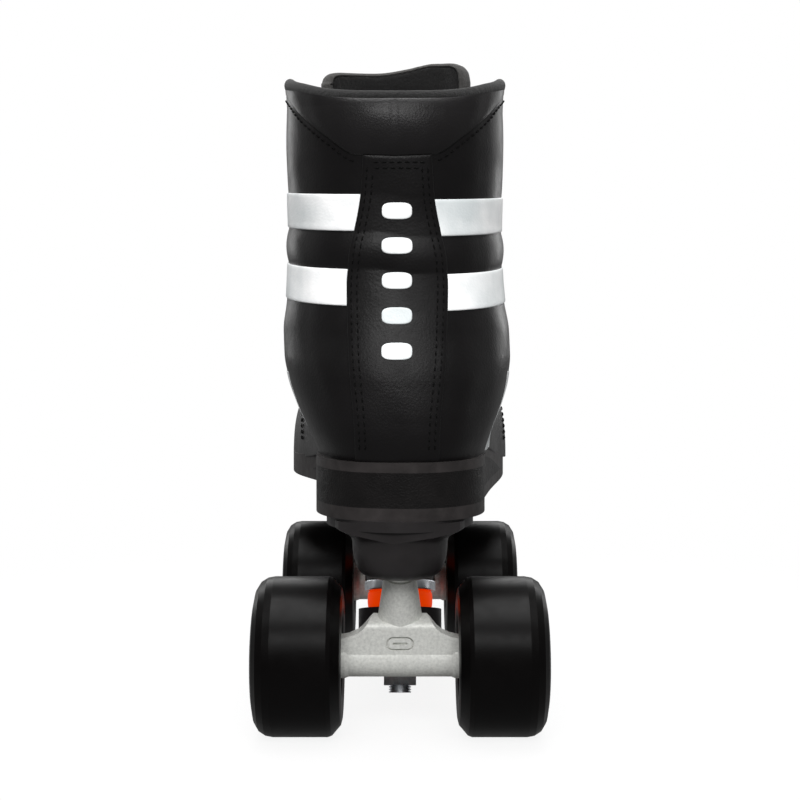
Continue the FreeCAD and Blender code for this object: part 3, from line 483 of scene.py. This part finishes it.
def vamp_line(z):
    return 12 + (np.minimum(z, 160) - 88) * 30 / 72.0


def vamp_ends(z, behind):
    """Angles where the vamp starts and stops, a little behind its seam line."""
    start = angle_for_y(z, vamp_line(z) - behind)
    return start, 2 * math.pi - start


def throat_half(z):
    return np.interp(z, [150, 157, 172], [11.0, 11.7, 15.0])


def quarter_end(z, side):
    """Front limit of a quarter: the vamp seam below, the throat's edge above; outer side positive."""
    seam = angle_for_y(z, vamp_line(z))
    throat = front_angle(z, CENTRE + side * throat_half(z))
    throat = throat if side > 0 else 2 * math.pi - throat
    return side * np.minimum(seam, throat)


def stay_half(z, side):
    w = smooth_curve([(100, 15.4), (122, 16), (150, 18.2), (177, 19.2), (192, 17.5), (212, 14), (226, 13)], z)
    return CENTRE * 0.5 + side * w


def build_upper():
    for side, name in ((1, "quarter_lateral"), (-1, "quarter_medial")):
        s, fs = rimmed(150, 0.004)
        t, ft = rimmed(190, 0.003)
        fs[:4] = 1.0  # no rim down the heel, where the backstay covers the seam
        limits = lambda p: (sole_top(p[..., 1]) - 1.5, np.minimum(seam_at(p), collar_top(p[..., 1])) + 0.5)
        u, z = settle(s, t, lambda zz: (0 * zz, quarter_end(zz, side)), limits)
        face = skin(u, z, lift(fs, ft, 0.15))
        grids(name + "_leather", [face], "smooth_leather", replaces=[name], flip=side < 0)
    t, ft = rimmed(120, 0.004)
    s, fs = rimmed(180, 0.003)
    ends = lambda z: vamp_ends(z, 5)
    u, z = settle(s, t, ends, lambda p: (sole_top(p[..., 1]) - 1.5, 156.5))
    grids("vamp_leather", [skin(u, z, lift(fs, ft, 0.0))], "smooth_leather", replaces=["vamp"])


def build_backstay():
    s, fs = rimmed(60, 0.02)
    t, ft = rimmed(150, 0.004)
    ends = lambda z: (heel_angle(z, stay_half(z, -1)), heel_angle(z, stay_half(z, 1)))
    u, z = settle(s, t, ends, lambda p: (sole_top(p[..., 1]) - 1.0, seam_at(p) + 0.3))
    grids("backstay_leather", [skin(u, z, lift(fs, ft, 0.8) + 0.5)], "smooth_leather", replaces=["backstay"])


def band_points(low, high, side):
    s, fs = rimmed(110, 0.006)
    t, ft = rimmed(18, 0.04)
    def ends(z):
        a = heel_angle(z, stay_half(z, side) - side * 1.5)
        b = front_angle(z, CENTRE + side * 27.0)
        return a, b if side > 0 else b - 2 * math.pi
    u, z = settle(s, t, ends, lambda p: (low + rise_of(p), high + rise_of(p)))
    return skin(u, z, lift(fs, ft, 0.4) + 0.35)


def slant_points(start, side):
    s, fs = rimmed(14, 0.05)
    t, ft = rimmed(50, 0.012)
    z = np.repeat((143 - 37 * t)[:, None], len(s), 1)
    y = start + 9 * s[None, :] + (152 - z) * 19 / 46.0
    z = np.maximum(z, sole_top(y) - 0.5)
    u = angle_for_y(z, y) * side
    return skin(u, z, lift(fs, ft, 0.2) + 0.25)


def build_stripes():
    faces = []
    for side in (1, -1):
        for low, high in BANDS:
            p = band_points(low, high, side)
            faces.append(p if side > 0 else p[:, ::-1])
        for start in (-105, -91):
            p = slant_points(start, side)
            faces.append(p[:, ::-1] if side > 0 else p)
    grids("white_stripes", faces, "white_leather", replaces=["stripes"])


MARK_X = -1.2
MARK_LOWEST = 152.0
MARK_PITCH = 13.4
MARK_HALF = (5.6, 3.2)


def build_marks():
    """Five plain lozenges down the backstay."""
    faces = []
    ring = np.concatenate([np.linspace(0.0, 0.94, 8), [1.0, 1.0]])
    height = np.concatenate([np.full(8, 0.35), [0.2, -0.6]])
    a = np.linspace(0, 2 * math.pi, 41)
    across = MARK_HALF[0] * np.sign(np.cos(a)) * np.abs(np.cos(a)) ** 0.6
    up = MARK_HALF[1] * np.sign(np.sin(a)) * np.abs(np.sin(a)) ** 0.6
    for number in range(5):
        x = MARK_X + ring[:, None] * across
        z = MARK_LOWEST + MARK_PITCH * number + ring[:, None] * up
        faces.append(skin(heel_angle(z, x), z, height[:, None] + 1.3))
    grids("backstay_lozenges", faces, "white_leather", replaces=["backstay_marks"], flip=True)


def build_collar():
    """Padded panel round the heel, from its lower seam to the top line, ending about y = -81."""
    t, _ = rimmed(30, 0.03)
    limit = 1.55
    for _ in range(30):
        y = boot(limit, collar_top(-80.0))[..., 1]
        limit += 0.02 if y < -81 else -0.005
    u = np.linspace(-1, 1, 321) * limit
    p = boot(u[None, :] + 0 * t[:, None], 240.0)
    for _ in range(8):
        low, high = seam_at(p), collar_top(p[..., 1])
        z = low + np.maximum(high - low, 0.4) * t[:, None]
        p = boot(np.broadcast_to(u, z.shape), z)
    puff = np.clip((collar_top(p[..., 1]) - seam_at(p) - 3) / 18, 0, 1)
    crown = np.sin(math.pi * np.clip(t, 0, 1)) ** 0.5
    wave = 0.2 * np.sin(u[None, :] * 9 + 3 * t[:, None])
    heel_seam = 0.5 * np.exp(-(u[None, :] / 0.02) ** 2) * t[:, None]
    p = skin(np.broadcast_to(u, z.shape), z, 0.3 + (2.6 + wave - heel_seam) * crown[:, None] * puff)
    pad = grids("collar_padding", [p], "collar_fabric", replaces=["collar_pad"])


def build_binding():
    """Folded tape over the collar's top edge."""
    n = 260
    a = front_angle(257.0, CENTRE + 33.6)
    b = front_angle(257.0, CENTRE - 33.6) - 2 * math.pi
    u = np.linspace(b, a, n)
    y = np.full(n, -90.0)
    for _ in range(6):
        z = collar_top(y)
        y = boot(u, z)[..., 1]
    top = collar_top(y)
    turn = np.linspace(0, math.pi, 14)
    depth = np.concatenate([[0.4, -0.3, -0.6], 1.9 - 2.6 * np.cos(turn), [4.8, 3.6]])
    lift_z = np.concatenate([[-2.2, -1.9, -0.9], 3.0 * np.sin(turn), [-4.4, -4.6]])
    ends = np.clip(np.minimum(np.arange(n), np.arange(n)[::-1]) / 4.0, 0.15, 1)
    d = 1.9 + (depth[:, None] - 1.9) * ends[None, :] ** 0.5
    z = top[None, :] + lift_z[:, None] * np.where(lift_z[:, None] > 0, ends[None, :], 1)
    tape = boot(np.broadcast_to(u, z.shape), z, d)
    grids("collar_binding_tape", [tape], "binding_tape", replaces=["collar_binding"])


def build_lining():
    faces = []
    for side in (1, -1):
        s, t = np.linspace(0, 1, 90), np.linspace(0, 1, 90)
        limits = lambda p: (sole_top(p[..., 1]) + 2.0, collar_top(p[..., 1]) - 0.5)
        u, z = settle(s, t, lambda zz: (0 * zz, quarter_end(zz, side)), limits)
        p = boot(u, z)
        foam = 2.6 * hump(z, 205, collar_top(p[..., 1]) + 6) * np.clip((-50 - p[..., 1]) / 20, 0, 1)
        q = boot(u, z, 4.4 + foam)
        faces.append(q[:, ::-1] if side > 0 else q)
    s, t = np.linspace(0, 1, 90), np.linspace(0, 1, 50)
    ends = lambda z: vamp_ends(z, 2)
    u, z = settle(s, t, ends, lambda p: (sole_top(p[..., 1]) + 2.0, 150.5))
    faces.append(boot(u, z, 4.4)[:, ::-1])
    grids("lining_cloth", faces, "lining_fabric", replaces=["lining"])


def build_insole():
    """Cupped foam insole on the sole's top."""
    s, fs = rimmed(40, 0.015)
    t, ft = rimmed(110, 0.006)
    u = math.pi * (0.03 + 0.94 * t)
    y = np.full(len(u), 0.0)
    for _ in range(8):
        z = sole_top(y) + 3.0
        y = boot(u, z, 5.2)[:, 1]
    right, left = boot(u, z, 5.2)[:, 0], boot(-u, z, 5.2)[:, 0]
    x = left[:, None] + (right - left)[:, None] * s[None, :]
    cup = 1.6 * np.abs(s * 2 - 1)[None, :] ** 4 + 0.1 * np.sin(x * 0.5) * np.sin(y * 0.5)[:, None]
    z = sole_top(y)[:, None] + 0.8 + lift(fs, ft, 2.6, 0.4) + cup
    grids("insole_foam", [np.stack([x, np.broadcast_to(y[:, None], x.shape), z], -1)], "lining_fabric",
          replaces=["insole"], flip=True)


TONGUE_TOP = [(-35.8, 265), (-34.9, 268.2), (-33, 269.8), (-29, 270.5), (-10, 271), (5, 272.9), (17.8, 274.8),
              (25.5, 274.4), (29.2, 273.2), (31.4, 270.6), (32.2, 266.5)]
TONGUE_LOW = 152.0
TONGUE_DEPTH = 4.8


def tongue_edge():
    """Points (x, z) up one side of the tongue, over its top and down the other side."""
    left, right = TONGUE_TOP[0][0], TONGUE_TOP[-1][0]
    x = np.linspace(left, right, 160)
    side = np.linspace(236, 266, 30)
    xs = np.concatenate([np.full(30, left), x, np.full(30, right)])
    return xs, np.concatenate([side, smooth_curve(TONGUE_TOP, x), side[::-1]])


def build_tongue():
    """Padded outer face, cloth back and a rolled rim."""
    s, fs = rimmed(60, 0.02)
    t, ft = rimmed(120, 0.006)
    half = np.interp(t, [0, 0.2, 1], [22.0, 30.0, 33.7])
    x = CENTRE + (s[None, :] * 2 - 1) * half[:, None]
    top = smooth_curve(TONGUE_TOP, x) - 0.6
    z = TONGUE_LOW + (top - TONGUE_LOW) * t[:, None]
    u = front_angle(z, x)
    f = np.maximum(np.minimum(fs[None, :], ft[:, None]), 0)
    puff = 0.9 * np.clip((z - 258) / 8, 0, 1) * np.sin(math.pi * s)[None, :] ** 0.5
    outer = TONGUE_DEPTH - f * (2.1 + puff)
    inner = TONGUE_DEPTH + f * (2.3 + puff)
    tongue = grids("tongue_pad", [boot(u, z, outer)], "collar_fabric", replaces=["tongue"])
    grids("tongue_backing", [boot(u, z, inner)[:, ::-1]], "binding_tape")
    ex, ez = tongue_edge()
    along_x, along_z = np.gradient(ex), np.gradient(ez)
    length = np.hypot(along_x, along_z)
    ring = np.linspace(0, 2 * math.pi, 13)[:, None]
    swell = 1.3 * np.sin(ring) - 0.6
    xx, zz = ex - along_z / length * swell, ez + along_x / length * swell
    grids("tongue_rim", [boot(front_angle(zz, xx), zz, 4.9 + 3.1 * np.cos(ring))], "lining_fabric")


LACE_LEVELS = (171, 180, 190, 202, 216, 231, 246)
LACE_HALF_WIDTH = 4.0
LACE_HALF_RUN = 23.5
EYELET_X = 21.5


def build_laces():
    runs = []
    s, fs = rimmed(44, 0.01)
    t, ft = rimmed(8, 0.06)
    for level in LACE_LEVELS:
        ahead = float(front_edge(level - 2.0, 0) - front_edge(level + 2.0, 0))
        half = LACE_HALF_WIDTH * 4 / math.hypot(4, ahead)  # the strap's height where the instep slopes
        x = np.broadcast_to(CENTRE + (s * 2 - 1) * LACE_HALF_RUN, (len(t), len(s)))
        z = level + (t[:, None] * 2 - 1) * half + 0 * x
        sag = 1.2 * (1 - ((s * 2 - 1) / 0.72) ** 2).clip(0, 1)[None, :]
        h = lift(fs, ft, 1.5, 0.2) + 0.9 - sag
        runs.append(boot(front_angle(z, x), z, -h)[:, ::-1])
    grids("lace_runs", runs, "lace_webbing", replaces=["laces"])


def torus(centre, normal, radius, tube):
    """Point grid of a ring that lies across the normal."""
    normal = normal / np.linalg.norm(normal)
    a = np.cross(normal, [0, 0, 1.0])
    a /= np.linalg.norm(a)
    b = np.cross(normal, a)
    p, q = np.linspace(0, 2 * math.pi, 29), np.linspace(0, 2 * math.pi, 11)
    away = radius + tube * np.cos(q)
    out = (np.cos(p)[:, None, None] * a + np.sin(p)[:, None, None] * b) * away[None, :, None]
    return centre + out + (np.sin(q) * tube)[None, :, None] * normal


def build_eyelets():
    rings = []
    for level in LACE_LEVELS:
        for side in (1, -1):
            u = front_angle(level, CENTRE + side * EYELET_X)
            p, q = boot(u, level, -0.8), boot(u, level, -2.8)
            rings.append(torus(p, q - p, 3.2, 0.9))
    grids("eyelet_rings", rings, "eyelet_metal", replaces=["eyelets"])


STITCH_PITCH = 3.0
STITCH_LENGTH = 2.1
STITCH_RADIUS = 0.34
STITCH_SHAPE = ((-1.0, 0.25), (-0.75, 0.8), (0.0, 1.0), (0.75, 0.8), (1.0, 0.25))
STITCH_SIDES = 6


def stitches(name, lines, slot):
    """Rows of raised stitches; each line is (points on the leather, points a little above)."""
    verts, faces = [], []
    for points, above in lines:
        step = np.concatenate([[0], np.cumsum(np.linalg.norm(np.diff(points, axis=0), axis=1))])
        at = np.arange(STITCH_PITCH, step[-1] - STITCH_PITCH / 2, STITCH_PITCH)
        p = np.stack([np.interp(at, step, points[:, k]) for k in range(3)], -1)
        q = np.stack([np.interp(at, step, above[:, k]) for k in range(3)], -1)
        ahead = np.stack([np.interp(at + 0.3, step, points[:, k]) for k in range(3)], -1) - p
        for c, n, d in zip(p, q - p, ahead):
            d = d / np.linalg.norm(d)
            n = n / np.linalg.norm(n)
            w = np.cross(d, n)
            start = len(verts)
            for along, size in STITCH_SHAPE:
                radius = size * STITCH_RADIUS
                for k in range(STITCH_SIDES):
                    a = k * 2 * math.pi / STITCH_SIDES
                    up = math.cos(a) * radius + 0.12 - 0.2 * along * along
                    verts.append(c + d * along * STITCH_LENGTH / 2 + n * up + w * math.sin(a) * radius)
            faces += grid_faces(len(STITCH_SHAPE), STITCH_SIDES, start, True)
    return make(name, verts, faces, slot)


def stitch_path(u, z, extra):
    return skin(u, z, extra), skin(u, z, extra + 1.0)


def build_stitching():
    lines = []
    z = np.linspace(113, 223, 160)
    for side in (1, -1):
        for inset in (2.0, 4.2):
            lines.append(stitch_path(heel_angle(z, stay_half(z, side) - side * inset), z, 1.3))
    for drop in (2.2, 4.4):
        x = np.linspace(-12.2 + drop * 0.2, 10.4 - drop * 0.2, 40)
        zz = 226.4 - drop + 0 * x
        lines.append(stitch_path(heel_angle(zz, x), zz, 1.3))
    for side in (1, -1):
        for inset in (2.2, 4.6):
            zt = np.linspace(160, 254, 150)
            u = front_angle(zt, CENTRE + side * (throat_half(zt) + inset))
            lines.append(stitch_path(u, zt, 0.5))
        for inset in (2.0, 4.2):
            zt = np.linspace(104, 152, 80)
            u = angle_for_y(zt, vamp_line(zt) - inset) * side
            lines.append(stitch_path(u, zt, 0.55))
    u = np.linspace(-1.5, 1.5, 220)
    z = np.full(220, 230.0)
    for _ in range(6):
        z = seam_at(boot(u, z)) - 2.4
    keep = (z < collar_top(boot(u, z)[..., 1]) - 5) & (np.abs(u) > np.abs(heel_angle(224.0, 12.0)))
    for part in (keep & (u > 0), keep & (u < 0)):
        lines.append(stitch_path(u[part], z[part], 0.3))
    dress(stitches("seam_stitches", lines, "lace_webbing"), "thread")


CUSHION_PLAY = 1.3  # extra bore at the end that leans, so that it clears the kingpin


def cushion_frame(cad):
    """Centre, axis (pointing up), bore, and the (height, radius) of both ends of a round cushion, in mm."""
    p = np.array([tuple(cad.matrix_world @ v.co) for v in cad.data.vertices]) / MM
    centre = (p.max(0) + p.min(0)) / 2
    q = p - centre
    values, axes = np.linalg.eigh(q.T @ q)
    axis = axes[:, 0] if values[1] - values[0] > values[2] - values[1] else axes[:, 2]
    axis = axis * np.sign(axis[2])
    h = q @ axis
    r = np.linalg.norm(q - h[:, None] * axis, axis=1)
    ends = [(k, r[np.abs(h - k) < 0.1].max()) for k in (h.min(), h.max())]
    return centre, axis, r.min(), ends


def build_cushions():
    """Urethane barrels, built in one pose and left unattached: the end that leans with the truck gets extra
    bore, the other sits on its washer.
    """
    for end in ("rear", "front"):
        for part in ("upper", "lower"):
            name = part + "_cushion_" + end
            centre, axis, bore, ((low, wide_low), (high, wide_high)) = cushion_frame(nodes[name])
            s = np.linspace(0, 1, 15)
            side = wide_low + (wide_high - wide_low) * s + 0.3 * np.sin(math.pi * s)
            side -= 0.6 * (np.exp(-s / 0.05) + np.exp(-(1 - s) / 0.05))
            loose = (CUSHION_PLAY, 0.0) if part == "upper" else (0.0, CUSHION_PLAY)
            r = np.concatenate([[bore + loose[0]], side, [bore + loose[1], bore + loose[0]]])
            h = np.concatenate([[low], low + (high - low) * s, [high, low]])
            a = np.linspace(0, 2 * math.pi, 64, endpoint=False)
            across = np.cross([1.0, 0, 0], axis)
            spoke = np.cos(a)[:, None] * np.array([1.0, 0, 0]) + np.sin(a)[:, None] * -across
            points = centre + r[:, None, None] * spoke + h[:, None, None] * axis
            barrel = grids(name + "_barrel", [points], "orange_urethane", None, [name], wrap=True)
            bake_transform(barrel)


build_cushions()
build_upper()
build_backstay()
build_stripes()
build_marks()
build_collar()
build_binding()
build_lining()
build_insole()
build_tongue()
build_laces()
build_eyelets()
build_stitching()


# ------------------------------------------------------------------ setting
def floor():
    half = 6.0
    corners = [(-half, -half, 0), (half, -half, 0), (half, half, 0), (-half, half, 0)]
    mesh = bpy.data.meshes.new("floor")
    mesh.from_pydata(corners, [], [(0, 1, 2, 3)])
    obj = bpy.data.objects.new("floor", mesh)
    bpy.context.scene.collection.objects.link(obj)
    m = Mat("floor", (0.9, 0.9, 0.9), 0.6)
    m.tint(m.noise(8, 3), (0.86, 0.86, 0.86), (0.92, 0.92, 0.92))
    m.fade(0.12, 0.36, 0.12)
    obj.data.materials.append(m.m)


def area(name, place, target, size, power, glossy=True):
    light = bpy.data.lights.new(name, "AREA")
    light.shape, light.size, light.size_y = "RECTANGLE", size[0], size[1]
    light.energy = power
    obj = bpy.data.objects.new(name, light)
    obj.location, obj.visible_glossy = place, glossy
    obj.rotation_euler = (Vector(target) - Vector(place)).to_track_quat("-Z", "Y").to_euler()
    bpy.context.scene.collection.objects.link(obj)


def studio_world():
    """White backdrop for the camera, dim even light for everything else."""
    world = bpy.data.worlds.new("studio")
    bpy.context.scene.world = world
    world.use_nodes = True
    tree = world.node_tree
    dim = tree.nodes["Background"]
    dim.inputs["Color"].default_value = (1, 1, 1, 1)
    dim.inputs["Strength"].default_value = 0.2
    white, mix, path = (tree.nodes.new("ShaderNode" + k) for k in ("Background", "MixShader", "LightPath"))
    white.inputs["Color"].default_value = (1, 1, 1, 1)
    white.inputs["Strength"].default_value = 1.0
    tree.links.new(path.outputs["Is Camera Ray"], mix.inputs["Fac"])
    tree.links.new(dim.outputs["Background"], mix.inputs[1])
    tree.links.new(white.outputs["Background"], mix.inputs[2])
    tree.links.new(mix.outputs["Shader"], tree.nodes["World Output"].inputs["Surface"])


floor()
studio_world()
area("left_strip", (-0.95, 1.2, 0.6), (0, -0.05, 0.22), (0.35, 0.9), 3.2)
area("right_strip", (0.95, 1.2, 0.6), (0, -0.05, 0.22), (0.35, 0.9), 3.2)
for side in (-1, 1):
    area("flank", (1.35 * side, 0.2, 0.55), (0, -0.05, 0.2), (0.35, 1.1), 0.7)
area("front_fill", (0, -1.75, 1.2), (0, 0, 0.14), (1.4, 0.9), 29, glossy=False)
area("front", (0, -1.6, 1.1), (0, 0, 0.14), (1.0, 0.5), 8)
area("front_top", (0, -0.8, 1.75), (0, 0, 0.14), (1.5, 0.5), 10)
area("top", (0, -0.1, 1.9), (0, 0, 0.1), (1.0, 1.0), 18)
area("back", (0, 1.9, 1.2), (0, 0, 0.1), (2.0, 1.0), 14)
bpy.context.scene.view_settings.view_transform = "Standard"

CAMERA_DISTANCE = 0.699
CAMERA_HEIGHT = 0.165
camera = bpy.data.cameras.new("camera")
camera.lens, camera.sensor_width, camera.shift_y = 66.7, 36.0, -0.104
eye = bpy.data.objects.new("camera", camera)
eye.location = (0, -CAMERA_DISTANCE, CAMERA_HEIGHT)
eye.rotation_euler = (math.radians(90), 0, 0)
bpy.context.scene.collection.objects.link(eye)
bpy.context.scene.camera = eye
